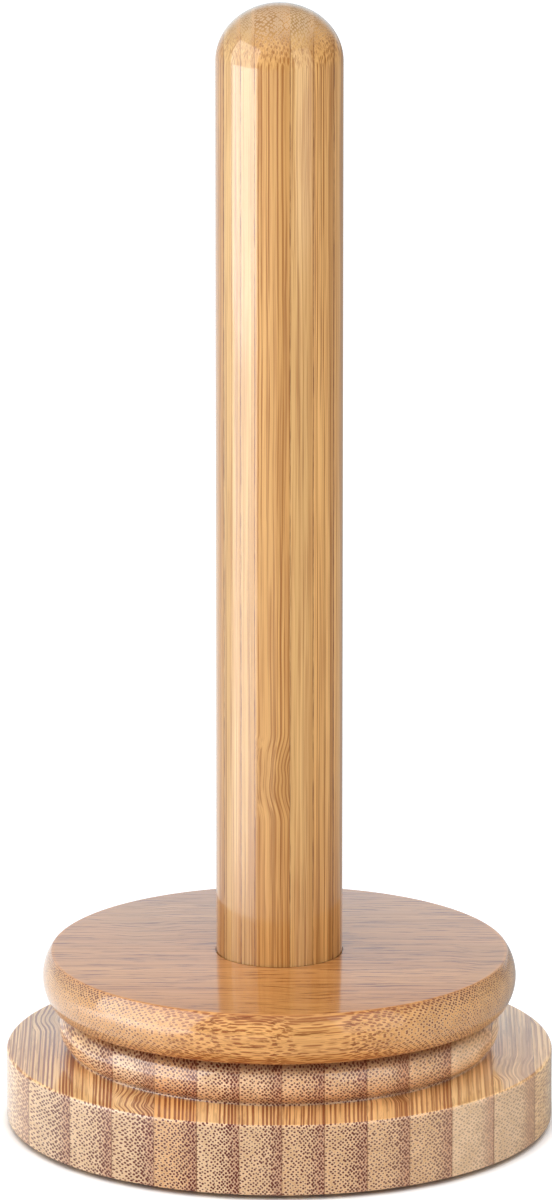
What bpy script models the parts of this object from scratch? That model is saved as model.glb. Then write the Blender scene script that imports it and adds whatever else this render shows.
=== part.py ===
"""Free-standing paper towel holder in laminated bamboo, with a turning disc and post.

The base is one turned block: a wide foot with a half-round bead on it. A ring bearing is let
into the top of the bead. Its outer race is screwed to the base and its inner race to the disc
above, so the disc and the post turn together on a ring of caged balls. The post's tenon passes
through the disc and is pulled down from below by one screw and a washer. Four rubber pads in
recesses keep the base off the table.

Metres, +Z up. The origin is on the turning axis, at the level the pads stand on.
"""

from math import asin, cos, pi, radians, sin, sqrt

import bmesh
import bpy
from mathutils import Matrix, Vector

MM = 0.001

# Base: a wide foot with a half-round bead standing on it
BASE_DIAMETER = 150 * MM
BASE_WALL_HEIGHT = 20 * MM
BASE_TOP_ARRIS = 0.8 * MM
BASE_BOTTOM_ARRIS = 1.0 * MM
BEAD_DIAMETER = 121 * MM
BEAD_HEIGHT = 12 * MM

# Disc: flat faces and a softly bulging edge
REVEAL = 1.2 * MM  # open gap between the bead and the disc
DISC_DIAMETER = 130 * MM
DISC_THICKNESS = 14 * MM
DISC_EDGE_RADIUS = 11.6 * MM  # of the bulge, seen in section
DISC_ARRIS = 0.7 * MM

# Post
POST_DIAMETER = 34.6 * MM
POST_HEIGHT = 264.5 * MM  # from the disc to the top of the dome
DOME_HEIGHT = 15.7 * MM
TENON_DIAMETER = 20 * MM
POST_SEAT_DEPTH = 0.6 * MM  # how deep the post's shoulder is let into the disc

# Ring bearing
BALL_CIRCLE_DIAMETER = 68 * MM
BALL_DIAMETER = 4 * MM
BALL_COUNT = 16
RACE_SPLIT = 1.8 * MM  # between the facing walls of the two races
RACE_WIDTH = 9.1 * MM
RACE_LIP = 0.5 * MM  # race beyond the ball, on the race's free side
RACE_BACK = 2.1 * MM  # race beyond the ball, on the side that is screwed down
CAGE_WALL = 1.0 * MM
CAGE_BACK = 0.8 * MM  # cage below the ball
CAGE_JAW = 1.6 * MM  # height of the jaws that hold the ball, above its centre
BASE_POCKET_DEPTH = 4 * MM

# Screws
RACE_SCREW_COUNT = 4
RACE_SCREW_LENGTH = 12 * MM
RACE_SCREW_DIAMETER = 3 * MM
RACE_SCREW_HEAD = 5.6 * MM
POST_SCREW_LENGTH = 40 * MM
POST_SCREW_DIAMETER = 5 * MM
POST_SCREW_HEAD = 9.5 * MM
POST_SCREW_HEAD_HEIGHT = 3 * MM
WASHER_THICKNESS = 1.5 * MM
WASHER_BEARING = 4 * MM  # how far the washer reaches past the tenon
SCREW_POINT = 2 * MM  # length of the taper at a screw's tip
DRIVER_HOLE_DIAMETER = 9 * MM

# Pads under the base
PAD_COUNT = 4
PAD_DIAMETER = 14 * MM
PAD_THICKNESS = 2.4 * MM
PAD_STAND = 1.2 * MM  # how far a pad stands out of its recess
PAD_INSET = 15 * MM  # from the base's edge to a pad's centre
PAD_ROUND = 0.5 * MM

# Clearances
SEAT_GAP = 0.3 * MM  # between pieces that rest on or sit in each other
TURNING_GAP = 1.0 * MM  # between the outer race and the disc that turns over it

# Facets round a full turn
WIDE_STEPS = 64
POST_STEPS = 48
RACE_STEPS = 48
PAD_STEPS = 20
SCREW_STEPS = 12
HOLE_STEPS = 16
BALL_STEPS = 10
BALL_RINGS = 6
ARC_STEPS = 6
SMOOTH_ANGLE = radians(35)

# Heights that the pieces share, each built up from the one below it
BASE_BOTTOM = PAD_STAND
LEDGE = BASE_BOTTOM + BASE_WALL_HEIGHT
BEAD_TOP = LEDGE + BEAD_HEIGHT
BASE_POCKET_FLOOR = BEAD_TOP - BASE_POCKET_DEPTH
OUTER_RACE_BOTTOM = BASE_POCKET_FLOOR + SEAT_GAP
BALL_PLANE = OUTER_RACE_BOTTOM + RACE_BACK + BALL_DIAMETER / 2
OUTER_RACE_TOP = BALL_PLANE + BALL_DIAMETER / 2 + RACE_LIP
INNER_RACE_BOTTOM = BALL_PLANE - BALL_DIAMETER / 2 - RACE_LIP
INNER_RACE_TOP = BALL_PLANE + BALL_DIAMETER / 2 + RACE_BACK
DISC_POCKET_CEILING = INNER_RACE_TOP + SEAT_GAP
DISC_BOTTOM = BEAD_TOP + REVEAL
DISC_TOP = DISC_BOTTOM + DISC_THICKNESS
POST_FOOT = DISC_TOP - POST_SEAT_DEPTH + SEAT_GAP
POST_TOP = DISC_TOP + POST_HEIGHT
WASHER_TOP = DISC_POCKET_CEILING - SEAT_GAP
TENON_END = WASHER_TOP + 2 * SEAT_GAP
POST_SCREW_SEAT = WASHER_TOP - WASHER_THICKNESS - SEAT_GAP

# Radii that the pieces share
BALL_CIRCLE = BALL_CIRCLE_DIAMETER / 2
GROOVE_RADIUS = BALL_DIAMETER / 2 + SEAT_GAP
OUTER_RACE_INSIDE = BALL_CIRCLE + RACE_SPLIT / 2
OUTER_RACE_OUTSIDE = OUTER_RACE_INSIDE + RACE_WIDTH
INNER_RACE_OUTSIDE = BALL_CIRCLE - RACE_SPLIT / 2
INNER_RACE_INSIDE = INNER_RACE_OUTSIDE - RACE_WIDTH
BASE_POCKET_RADIUS = OUTER_RACE_OUTSIDE + SEAT_GAP
DISC_POCKET_RADIUS = OUTER_RACE_OUTSIDE + TURNING_GAP
# The screws stand in the wide part of each race, clear of the groove
OUTER_SCREW_CIRCLE = (BALL_CIRCLE + GROOVE_RADIUS + OUTER_RACE_OUTSIDE) / 2 - SEAT_GAP
INNER_SCREW_CIRCLE = (BALL_CIRCLE - GROOVE_RADIUS + INNER_RACE_INSIDE) / 2 + SEAT_GAP
PAD_CIRCLE = BASE_DIAMETER / 2 - PAD_INSET

# name: (colour, roughness, metallic)
FINISHES = {
    "bamboo": ((0.72, 0.45, 0.22), 0.3, 0.0),
    "aluminium": ((0.78, 0.79, 0.80), 0.35, 1.0),
    "steel": ((0.62, 0.62, 0.63), 0.25, 1.0),
    "nylon": ((0.85, 0.84, 0.78), 0.5, 0.0),
    "rubber": ((0.03, 0.03, 0.03), 0.85, 0.0),
}


def clear_scene():
    """Remove whatever the opened file holds."""
    for thing in list(bpy.data.objects):
        bpy.data.objects.remove(thing, do_unlink=True)


def new_collection(name):
    """A collection of this name in the scene."""
    collection = bpy.data.collections.new(name)
    bpy.context.scene.collection.children.link(collection)
    return collection


def finish(name):
    """The material of this name from FINISHES, made on first use."""
    if name in bpy.data.materials:
        return bpy.data.materials[name]
    colour, roughness, metallic = FINISHES[name]
    material = bpy.data.materials.new(name)
    material.use_nodes = True
    shader = material.node_tree.nodes["Principled BSDF"]
    shader.inputs["Base Color"].default_value = (*colour, 1.0)
    shader.inputs["Roughness"].default_value = roughness
    shader.inputs["Metallic"].default_value = metallic
    material.diffuse_color = (*colour, 1.0)
    return material


def arc(centre, radius, start, end, steps=ARC_STEPS):
    """Points (r, z) along an arc in section, from the angle start to end, in radians."""
    turns = [start + (end - start) * step / steps for step in range(steps + 1)]
    return [(centre[0] + radius * cos(turn), centre[1] + radius * sin(turn)) for turn in turns]


def evaluated_mesh(thing):
    """A new mesh of the object with its modifiers applied."""
    depsgraph = bpy.context.evaluated_depsgraph_get()
    return bpy.data.meshes.new_from_object(thing.evaluated_get(depsgraph))


def turned(name, profile, steps, ring=False):
    """A solid turned about Z from (r, z) points that run down its outer side.

    A ring's profile is a closed loop. Any other profile starts and ends on the axis.
    """
    mesh = bpy.data.meshes.new(name)
    edges = [(index, index + 1) for index in range(len(profile) - 1)]
    if ring:
        edges.append((len(profile) - 1, 0))
    mesh.from_pydata([(r, 0.0, z) for r, z in profile], edges, [])
    sketch = bpy.data.objects.new(name + "_profile", mesh)
    bpy.context.scene.collection.objects.link(sketch)
    screw = sketch.modifiers.new("turn", "SCREW")
    screw.steps = steps
    screw.render_steps = steps
    screw.use_merge_vertices = True
    screw.merge_threshold = 1e-6
    solid = evaluated_mesh(sketch)
    bpy.data.objects.remove(sketch, do_unlink=True)
    bpy.data.meshes.remove(mesh)
    solid.name = name
    solid.shade_smooth()
    solid.set_sharp_from_angle(angle=SMOOTH_ANGLE)
    return solid


def add_piece(name, mesh, location, parent, material, collection):
    """An object for one piece of the holder, placed in the world and hung on its parent."""
    piece = bpy.data.objects.new(name, mesh)
    collection.objects.link(piece)
    piece.parent = parent
    piece.location = Vector(location) - parent.location
    if not mesh.materials:
        mesh.materials.append(finish(material))
    return piece


def add_axis(name, height, collection):
    """An empty on the turning axis, for a group of pieces that moves together."""
    axis = bpy.data.objects.new(name, None)
    axis.empty_display_size = 20 * MM
    axis.location = (0.0, 0.0, height)
    collection.objects.link(axis)
    return axis


def ring_places(count, radius, first=0.0):
    """The (x, y, turn) of count places spread evenly round a circle."""
    turns = [first + 2 * pi * index / count for index in range(count)]
    return [(radius * cos(turn), radius * sin(turn), turn) for turn in turns]


def add_drill(name, diameter, place, bottom, top, collection):
    """A cylinder that drills a hole from bottom to top."""
    mesh = bpy.data.meshes.new(name)
    shape = bmesh.new()
    bmesh.ops.create_cone(
        shape,
        cap_ends=True,
        segments=HOLE_STEPS,
        radius1=diameter / 2,
        radius2=diameter / 2,
        depth=top - bottom,
    )
    shape.to_mesh(mesh)
    shape.free()
    return add_cutter(name, mesh, (*place, (bottom + top) / 2), collection)


def add_cutter(name, mesh, location, collection):
    """A cutter from this mesh, kept out of the renders."""
    cutter = bpy.data.objects.new(name, mesh)
    cutter.location = location
    cutter.hide_render = True
    cutter.display_type = "WIRE"
    collection.objects.link(cutter)
    return cutter


def cut(piece, cutters):
    """Take each cutter's volume out of the piece."""
    for cutter in cutters:
        boolean = piece.modifiers.new(cutter.name, "BOOLEAN")
        boolean.operation = "DIFFERENCE"
        boolean.solver = "EXACT"
        boolean.object = cutter


def base_profile():
    """Section of the base above its own underside, with the bearing pocket in the bead."""
    radius = BASE_DIAMETER / 2
    bead = BEAD_HEIGHT / 2
    ledge = LEDGE - BASE_BOTTOM
    top = BEAD_TOP - BASE_BOTTOM
    floor = BASE_POCKET_FLOOR - BASE_BOTTOM
    top_arris = (radius - BASE_TOP_ARRIS, ledge - BASE_TOP_ARRIS)
    bottom_arris = (radius - BASE_BOTTOM_ARRIS, BASE_BOTTOM_ARRIS)
    return [
        (0.0, floor),
        (BASE_POCKET_RADIUS, floor),
        (BASE_POCKET_RADIUS, top),
        *arc((BEAD_DIAMETER / 2 - bead, ledge + bead), bead, pi / 2, -pi / 2, 2 * ARC_STEPS),
        *arc(top_arris, BASE_TOP_ARRIS, pi / 2, 0.0, 2),
        *arc(bottom_arris, BASE_BOTTOM_ARRIS, 0.0, -pi / 2, 2),
        (0.0, 0.0),
    ]


def disc_profile():
    """Section of the disc above its underside: bulging edge, bearing pocket, mortise, seat."""
    half = DISC_THICKNESS / 2
    bulge = max(DISC_EDGE_RADIUS, half)
    lean = asin((half - DISC_ARRIS) / (bulge - DISC_ARRIS))
    centre = (DISC_DIAMETER / 2 - bulge, half)
    corner = centre[0] + (bulge - DISC_ARRIS) * cos(lean)
    mortise = TENON_DIAMETER / 2 + SEAT_GAP
    seat = POST_DIAMETER / 2 + SEAT_GAP
    ceiling = DISC_POCKET_CEILING - DISC_BOTTOM
    return [
        *arc((corner, DISC_THICKNESS - DISC_ARRIS), DISC_ARRIS, pi / 2, lean, 2),
        *arc(centre, bulge, lean, -lean)[1:-1],
        *arc((corner, DISC_ARRIS), DISC_ARRIS, -lean, -pi / 2, 2),
        (DISC_POCKET_RADIUS, 0.0),
        (DISC_POCKET_RADIUS, ceiling),
        (mortise, ceiling),
        (mortise, DISC_THICKNESS - POST_SEAT_DEPTH),
        (seat, DISC_THICKNESS - POST_SEAT_DEPTH),
        (seat, DISC_THICKNESS),
    ]


def post_profile():
    """Section of the post above its own shoulder, with the dome above and the tenon below."""
    radius = POST_DIAMETER / 2
    spring = POST_TOP - POST_FOOT - DOME_HEIGHT
    dome_turns = [pi / 2 * (1 - step / ARC_STEPS) for step in range(ARC_STEPS + 1)]
    dome = [(radius * cos(turn), spring + DOME_HEIGHT * sin(turn)) for turn in dome_turns]
    dome[0] = (0.0, spring + DOME_HEIGHT)
    return [
        *dome,
        (radius, 0.0),
        (TENON_DIAMETER / 2, 0.0),
        (TENON_DIAMETER / 2, TENON_END - POST_FOOT),
        (0.0, TENON_END - POST_FOOT),
    ]


def outer_race_profile():
    """Section of the outer race about the ball plane, its groove on the inside."""
    bottom = OUTER_RACE_BOTTOM - BALL_PLANE
    top = OUTER_RACE_TOP - BALL_PLANE
    return [
        (OUTER_RACE_OUTSIDE, top),
        (OUTER_RACE_OUTSIDE, bottom),
        (OUTER_RACE_INSIDE, bottom),
        *groove(-1, 1),
        (OUTER_RACE_INSIDE, top),
    ]


def inner_race_profile():
    """Section of the inner race about the ball plane, its groove on the outside."""
    bottom = INNER_RACE_BOTTOM - BALL_PLANE
    top = INNER_RACE_TOP - BALL_PLANE
    return [
        (INNER_RACE_OUTSIDE, top),
        *[(2 * BALL_CIRCLE - r, z) for r, z in groove(1, -1)],
        (INNER_RACE_OUTSIDE, bottom),
        (INNER_RACE_INSIDE, bottom),
        (INNER_RACE_INSIDE, top),
    ]


def groove(first, last):
    """The outer race's ball groove in section, from its first to its last lip (-1 or 1)."""
    lip = asin(sqrt(GROOVE_RADIUS**2 - (RACE_SPLIT / 2) ** 2) / GROOVE_RADIUS)
    return arc((BALL_CIRCLE, 0.0), GROOVE_RADIUS, first * lip, last * lip)


def cage_profile():
    """Section of the ball cage about the ball plane, before its pockets are cut."""
    inside = BALL_CIRCLE - CAGE_WALL / 2
    outside = BALL_CIRCLE + CAGE_WALL / 2
    bottom = -BALL_DIAMETER / 2 - CAGE_BACK
    return [(outside, CAGE_JAW), (outside, bottom), (inside, bottom), (inside, CAGE_JAW)]


def race_screw_profile():
    """Section of a countersunk wood screw, head up, with its head's face at zero."""
    head = RACE_SCREW_HEAD / 2
    shank = RACE_SCREW_DIAMETER / 2
    return [
        (0.0, 0.0),
        (head, 0.0),
        (shank, shank - head),
        (shank, SCREW_POINT - RACE_SCREW_LENGTH),
        (0.0, -RACE_SCREW_LENGTH),
    ]


def post_screw_profile():
    """Section of the pan-headed post screw, point up, with its head's seat at zero."""
    head = POST_SCREW_HEAD / 2
    shank = POST_SCREW_DIAMETER / 2
    crown = POST_SCREW_HEAD_HEIGHT / 2
    return [
        (0.0, POST_SCREW_LENGTH),
        (shank, POST_SCREW_LENGTH - SCREW_POINT),
        (shank, 0.0),
        (head, 0.0),
        *arc((head - crown, crown - POST_SCREW_HEAD_HEIGHT), crown, 0.0, -pi / 2, 4),
        (0.0, -POST_SCREW_HEAD_HEIGHT),
    ]


def washer_profile():
    """Section of the washer that spreads the post screw's pull over the disc."""
    outside = TENON_DIAMETER / 2 + WASHER_BEARING
    bore = POST_SCREW_DIAMETER / 2 + SEAT_GAP
    return [
        (outside, WASHER_THICKNESS),
        (outside, 0.0),
        (bore, 0.0),
        (bore, WASHER_THICKNESS),
    ]


def pad_profile():
    """Section of a rubber pad, its standing face at zero."""
    radius = PAD_DIAMETER / 2
    return [
        (0.0, PAD_THICKNESS),
        (radius, PAD_THICKNESS),
        *arc((radius - PAD_ROUND, PAD_ROUND), PAD_ROUND, 0.0, -pi / 2, 2),
        (0.0, 0.0),
    ]


def countersink_profile():
    """Section of the hole that a race screw stands in, its mouth a little above the face."""
    hole = RACE_SCREW_DIAMETER / 2 + SEAT_GAP
    mouth = RACE_SCREW_HEAD / 2 + 2 * SEAT_GAP
    depth = RACE_BACK + RACE_LIP + BALL_DIAMETER + SEAT_GAP
    return [(0.0, SEAT_GAP), (mouth, SEAT_GAP), (hole, SEAT_GAP + hole - mouth), (hole, -depth), (0.0, -depth)]


def add_base(frame, parts, cutters):
    """The turned base with its pad recesses, screw holes and driver hole."""
    base = add_piece(
        "base", turned("base", base_profile(), WIDE_STEPS), (0, 0, BASE_BOTTOM), frame, "bamboo", parts
    )
    drills = []
    recess_top = PAD_THICKNESS + SEAT_GAP
    for index, (x, y, _) in enumerate(ring_places(PAD_COUNT, PAD_CIRCLE, pi / PAD_COUNT)):
        diameter = PAD_DIAMETER + 2 * SEAT_GAP
        drills.append(add_drill(f"pad_recess_{index + 1}", diameter, (x, y), 0.0, recess_top, cutters))
    pilot_end = OUTER_RACE_TOP - RACE_SCREW_LENGTH - SEAT_GAP
    for index, (x, y, _) in enumerate(ring_places(RACE_SCREW_COUNT, OUTER_SCREW_CIRCLE)):
        diameter = RACE_SCREW_DIAMETER + 2 * SEAT_GAP
        drills.append(add_drill(f"base_pilot_{index + 1}", diameter, (x, y), pilot_end, BEAD_TOP, cutters))
    x, y, _ = ring_places(1, INNER_SCREW_CIRCLE, pi / RACE_SCREW_COUNT)[0]
    drills.append(add_drill("driver_hole", DRIVER_HOLE_DIAMETER, (x, y), 0.0, BEAD_TOP, cutters))
    cut(base, drills)


def add_pads(frame, parts):
    """The rubber pads in the base's recesses."""
    mesh = turned("pad", pad_profile(), PAD_STEPS)
    for index, (x, y, _) in enumerate(ring_places(PAD_COUNT, PAD_CIRCLE, pi / PAD_COUNT)):
        add_piece(f"pad_{index + 1}", mesh, (x, y, 0), frame, "rubber", parts)


def add_disc(turntable, parts, cutters):
    """The disc with its screw holes."""
    disc = add_piece(
        "disc",
        turned("disc", disc_profile(), WIDE_STEPS, ring=True),
        (0, 0, DISC_BOTTOM),
        turntable,
        "bamboo",
        parts,
    )
    drills = []
    pilot_end = INNER_RACE_BOTTOM + RACE_SCREW_LENGTH + SEAT_GAP
    places = ring_places(RACE_SCREW_COUNT, INNER_SCREW_CIRCLE, pi / RACE_SCREW_COUNT)
    for index, (x, y, _) in enumerate(places):
        diameter = RACE_SCREW_DIAMETER + 2 * SEAT_GAP
        drills.append(add_drill(f"disc_pilot_{index + 1}", diameter, (x, y), DISC_BOTTOM, pilot_end, cutters))
    cut(disc, drills)


def add_post(turntable, parts, cutters):
    """The post, bored for its screw, with the screw and washer that hold it."""
    post = add_piece(
        "post", turned("post", post_profile(), POST_STEPS), (0, 0, POST_FOOT), turntable, "bamboo", parts
    )
    bore_end = POST_SCREW_SEAT + POST_SCREW_LENGTH + SEAT_GAP
    diameter = POST_SCREW_DIAMETER + 2 * SEAT_GAP
    cut(post, [add_drill("post_bore", diameter, (0, 0), WASHER_TOP, bore_end, cutters)])
    screw = turned("post_screw", post_screw_profile(), SCREW_STEPS)
    add_piece("post_screw", screw, (0, 0, POST_SCREW_SEAT), turntable, "steel", parts)
    washer = turned("post_washer", washer_profile(), PAD_STEPS, ring=True)
    place = (0, 0, WASHER_TOP - WASHER_THICKNESS)
    add_piece("post_washer", washer, place, turntable, "steel", parts)


def add_races(frame, turntable, parts, cutters):
    """The two races, countersunk for their screws from opposite sides, and the screws."""
    screw_mesh = turned("race_screw", race_screw_profile(), SCREW_STEPS)
    sink_mesh = turned("countersink", countersink_profile(), HOLE_STEPS)
    rows = (
        ("outer_race", outer_race_profile(), frame, OUTER_SCREW_CIRCLE, 0.0, OUTER_RACE_TOP, 0.0),
        (
            "inner_race",
            inner_race_profile(),
            turntable,
            INNER_SCREW_CIRCLE,
            pi / RACE_SCREW_COUNT,
            INNER_RACE_BOTTOM,
            pi,
        ),
    )
    for name, profile, parent, circle, first, face, flip in rows:
        mesh = turned(name, profile, RACE_STEPS, ring=True)
        race = add_piece(name, mesh, (0, 0, BALL_PLANE), parent, "aluminium", parts)
        sinks = []
        for index, (x, y, turn) in enumerate(ring_places(RACE_SCREW_COUNT, circle, first)):
            screw = add_piece(f"{name}_screw_{index + 1}", screw_mesh, (x, y, face), parent, "steel", parts)
            screw.rotation_euler = (flip, 0.0, turn)
            sink = add_cutter(f"{name}_sink_{index + 1}", sink_mesh, (x, y, face), cutters)
            sink.rotation_euler = (flip, 0.0, turn)
            sinks.append(sink)
        cut(race, sinks)


def add_balls(ball_train, parts, cutters):
    """The crown-shaped cage and the balls that snap into it."""
    mesh = turned("ball_cage", cage_profile(), RACE_STEPS, ring=True)
    cage = add_piece("ball_cage", mesh, (0, 0, BALL_PLANE), ball_train, "nylon", parts)
    ball_mesh = bpy.data.meshes.new("ball")
    shape = bmesh.new()
    bmesh.ops.create_uvsphere(shape, u_segments=BALL_STEPS, v_segments=BALL_RINGS, radius=BALL_DIAMETER / 2)
    shape.to_mesh(ball_mesh)
    shape.free()
    ball_mesh.shade_smooth()
    pocket_mesh = bpy.data.meshes.new("ball_pocket")
    shape = bmesh.new()
    bmesh.ops.create_cone(
        shape,
        cap_ends=True,
        segments=HOLE_STEPS,
        radius1=GROOVE_RADIUS,
        radius2=GROOVE_RADIUS,
        depth=4 * CAGE_WALL,
        matrix=Matrix.Rotation(pi / 2, 4, "Y"),
    )
    shape.to_mesh(pocket_mesh)
    shape.free()
    pockets = []
    for index, (x, y, turn) in enumerate(ring_places(BALL_COUNT, BALL_CIRCLE)):
        add_piece(f"ball_{index + 1:02d}", ball_mesh, (x, y, BALL_PLANE), ball_train, "steel", parts)
        pocket = add_cutter(f"ball_pocket_{index + 1:02d}", pocket_mesh, (x, y, BALL_PLANE), cutters)
        pocket.rotation_euler = (0.0, 0.0, turn)
        pockets.append(pocket)
    cut(cage, pockets)


def main():
    clear_scene()
    parts = new_collection("paper_towel_holder")
    cutters = new_collection("cutters")
    frame = add_axis("base_axis", 0.0, parts)
    turntable = add_axis("turntable_axis", BALL_PLANE, parts)
    ball_train = add_axis("ball_train_axis", BALL_PLANE, parts)
    add_base(frame, parts, cutters)
    add_pads(frame, parts)
    add_disc(turntable, parts, cutters)
    add_post(turntable, parts, cutters)
    add_races(frame, turntable, parts, cutters)
    add_balls(ball_train, parts, cutters)


main()
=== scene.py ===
"""Looks of the paper towel holder: turned bamboo over a ring bearing, on a pale floor.

The wood is one solid texture for each block: strips glued side by side, each with fibre
bundles that crowd towards one side, so end grain, long grain and every slanted cut between
them come out of the same pattern. Everything is in metres, in the frame's own axes.
"""

import logging
from dataclasses import dataclass
from enum import Enum
from math import asin, cos, pi, radians, sin, sqrt

import bmesh
import bpy
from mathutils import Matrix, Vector


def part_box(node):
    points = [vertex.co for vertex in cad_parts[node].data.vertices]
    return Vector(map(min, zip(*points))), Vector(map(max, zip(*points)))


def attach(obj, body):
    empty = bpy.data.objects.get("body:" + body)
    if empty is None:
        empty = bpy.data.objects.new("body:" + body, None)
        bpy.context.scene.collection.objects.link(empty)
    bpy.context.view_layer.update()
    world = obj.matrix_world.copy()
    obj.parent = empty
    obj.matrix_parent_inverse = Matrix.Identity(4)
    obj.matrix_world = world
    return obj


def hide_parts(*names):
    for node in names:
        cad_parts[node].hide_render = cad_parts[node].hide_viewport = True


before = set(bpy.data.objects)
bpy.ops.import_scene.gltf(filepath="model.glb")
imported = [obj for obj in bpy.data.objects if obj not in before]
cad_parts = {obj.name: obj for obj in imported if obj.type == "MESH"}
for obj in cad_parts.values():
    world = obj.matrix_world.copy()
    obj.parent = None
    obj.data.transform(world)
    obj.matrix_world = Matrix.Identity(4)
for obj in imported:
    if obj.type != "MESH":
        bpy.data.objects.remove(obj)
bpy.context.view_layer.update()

LOG = logging.getLogger("paper_towel_holder")
MM = 0.001
WELD = 1e-7
Piece = bpy.types.Object
Material = bpy.types.Material
Socket = bpy.types.NodeSocket
Sockets = dict[str, Socket]
Value = float | int | tuple | Socket
Colour = tuple[float, float, float]
Point = tuple[float, float]


class Axis(Enum):
    """An axis of the frame, as the name of its output on a Separate XYZ node."""

    X = "X"
    Y = "Y"
    Z = "Z"

    @property
    def arrow(self) -> Colour:
        """The unit vector along the axis."""
        return tuple(float(self.value == name) for name in "XYZ")


class Grading(Enum):
    """Which way the fibre bundles crowd together."""

    ACROSS_STRIP = "from one side of each strip to the other"
    OUT_OF_BOARD = "from the board's middle to both of its faces"


# ---------------------------------------------------------------- node trees


class Graph:
    """Short calls for the nodes that the finishes and the shape trees share."""

    def __init__(self, tree: bpy.types.NodeTree) -> None:
        """Work on this tree.

        Args:
            tree: The tree that gets the nodes.
        """
        self.tree = tree

    def add(self, kind: str, inputs: dict | None = None, **settings: object) -> bpy.types.Node:
        """Add one node.

        Args:
            kind: The node's type.
            inputs: What to feed to its inputs, by name or by number.
            **settings: Its own properties.

        Returns:
            The node.
        """
        node = self.tree.nodes.new(kind)
        for name, value in settings.items():
            setattr(node, name, value)
        for key, value in (inputs or {}).items():
            self.feed(node.inputs[key], value)
        return node

    def feed(self, socket: Socket, value: Value) -> None:
        """Link a socket to an output, or set it to a plain value."""
        if isinstance(value, bpy.types.NodeSocket):
            self.tree.links.new(value, socket)
        elif isinstance(value, tuple) and socket.type == "RGBA":
            socket.default_value = (*value, 1.0)
        else:
            socket.default_value = value

    def math(self, operation: str, *values: Value) -> Socket:
        """The result of a Math node on these values."""
        return self.add("ShaderNodeMath", dict(enumerate(values)), operation=operation).outputs[0]

    def plus(self, first: Value, second: Value) -> Socket:
        """The sum of two values."""
        return self.math("ADD", first, second)

    def minus(self, first: Value, second: Value) -> Socket:
        """The first value less the second."""
        return self.math("SUBTRACT", first, second)

    def times(self, first: Value, second: Value) -> Socket:
        """The product of two values."""
        return self.math("MULTIPLY", first, second)

    def over(self, first: Value, second: Value) -> Socket:
        """The first value divided by the second."""
        return self.math("DIVIDE", first, second)

    def vector(self, operation: str, *values: Value) -> bpy.types.Node:
        """A Vector Math node on these values."""
        return self.add("ShaderNodeVectorMath", dict(enumerate(values)), operation=operation)

    def combine(self, x: Value = 0.0, y: Value = 0.0, z: Value = 0.0) -> Socket:
        """One vector from three numbers."""
        return self.add("ShaderNodeCombineXYZ", {"X": x, "Y": y, "Z": z}).outputs[0]

    def separate(self, vector: Socket) -> Sockets:
        """The three numbers of a vector, by axis name."""
        return dict(self.add("ShaderNodeSeparateXYZ", {0: vector}).outputs.items())

    def length(self, vector: Socket) -> Socket:
        """How long a vector is."""
        return self.vector("LENGTH", vector).outputs["Value"]

    def ramp(
        self, value: Value, low: Value, high: Value, to: Point = (0.0, 1.0), smooth: bool = True
    ) -> Socket:
        """Carry a value from one range to another, clamped at both ends.

        Args:
            value: What to carry over.
            low: Where the range starts.
            high: Where the range ends.
            to: What comes out at the start and at the end.
            smooth: Whether to ease in and out.

        Returns:
            The result's socket.
        """
        kind = "SMOOTHSTEP" if smooth else "LINEAR"
        names = ("Value", "From Min", "From Max", "To Min", "To Max")
        inputs = dict(zip(names, (value, low, high, *to)))
        return self.add("ShaderNodeMapRange", inputs, interpolation_type=kind).outputs["Result"]


class ShaderGraph(Graph):
    """A material's tree, with the textures and mixes of a finish."""

    def __init__(self, name: str) -> None:
        """Start a material with a Principled surface.

        Args:
            name: The material's name.
        """
        self.material = bpy.data.materials.new(name)
        self.material.use_nodes = True
        super().__init__(self.material.node_tree)
        self.surface = self.tree.nodes["Principled BSDF"]
        self.place = self.add("ShaderNodeTexCoord")

    def millimetres(self) -> Sockets:
        """The point on the piece, in millimetres, by axis name."""
        place = self.vector("MULTIPLY", self.place.outputs["Object"], (1e3, 1e3, 1e3))
        return self.separate(place.outputs[0])

    def noise(self, vector: Socket, detail: float = 2.0, roughness: float = 0.5) -> bpy.types.Node:
        """A Noise texture whose waves are about one unit of the vector long."""
        inputs = {"Vector": vector, "Scale": 1.0, "Detail": detail, "Roughness": roughness}
        return self.add("ShaderNodeTexNoise", inputs)

    def mix(self, factor: Value, first: Value, second: Value, blend: str = "MIX") -> Socket:
        """Mix two colours."""
        node = self.add("ShaderNodeMix", data_type="RGBA", blend_type=blend, clamp_factor=True)
        for key, value in ((0, factor), (6, first), (7, second)):
            self.feed(node.inputs[key], value)
        return node.outputs[2]

    def bump(self, height: Socket, strength: float, distance: float) -> Socket:
        """A normal raised by a height, whose full step is this distance in metres."""
        inputs = {"Height": height, "Strength": strength, "Distance": distance}
        return self.add("ShaderNodeBump", inputs).outputs[0]

    def cloud(self, point: Sockets, waves: float, *detail: float) -> Socket:
        """Even noise over a point, with this many waves in a unit."""
        scaled = self.combine(*(self.times(point[name], waves) for name in "XYZ"))
        return self.noise(scaled, *detail).outputs[0]

    def finish(self, inputs: dict[str, Value]) -> Material:
        """Feed the Principled surface and hand over the material."""
        for name, value in inputs.items():
            self.feed(self.surface.inputs[name], value)
        return self.material


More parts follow.
